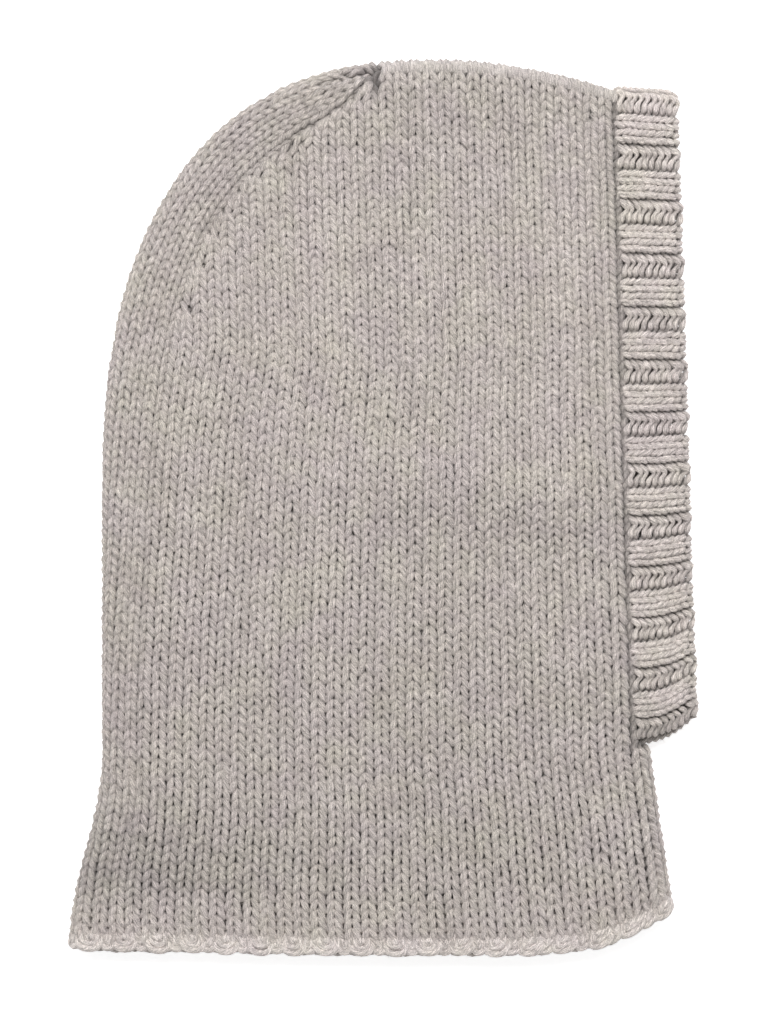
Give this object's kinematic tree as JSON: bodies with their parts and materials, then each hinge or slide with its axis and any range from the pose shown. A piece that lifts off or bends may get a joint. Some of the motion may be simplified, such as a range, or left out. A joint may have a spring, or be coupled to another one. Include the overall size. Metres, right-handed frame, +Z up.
{
  "type": "snood",
  "caption": "Chunky hand-knitted hooded snood with a ribbed face band, a shaped back panel and a flared neck, lying flat on its side.",
  "frame": {"origin": "on the surface that the hood lies on, below the middle of its bounding box", "axes": "+X from the back of the head to the face opening, +Y from the hem to the crown, +Z up, out of the wearer's right side"},
  "size_m": [0.2656, 0.3799, 0.0207],
  "materials": {
    "stocking_wool": "heathered undyed wool, stocking stitch, matt and slightly hairy",
    "rib_wool": "the same wool in two by two rib, matt",
    "edge_wool": "the same wool as a single cast-on or seaming yarn, matt"
  },
  "bodies": {
    "root": {"neck_tube": "stocking_wool", "right_side": "stocking_wool", "left_side": "stocking_wool", "back_gusset": "stocking_wool", "face_band": "rib_wool", "crown_seam": "edge_wool", "hem_edge": "edge_wool"}
  },
  "joints": []
}
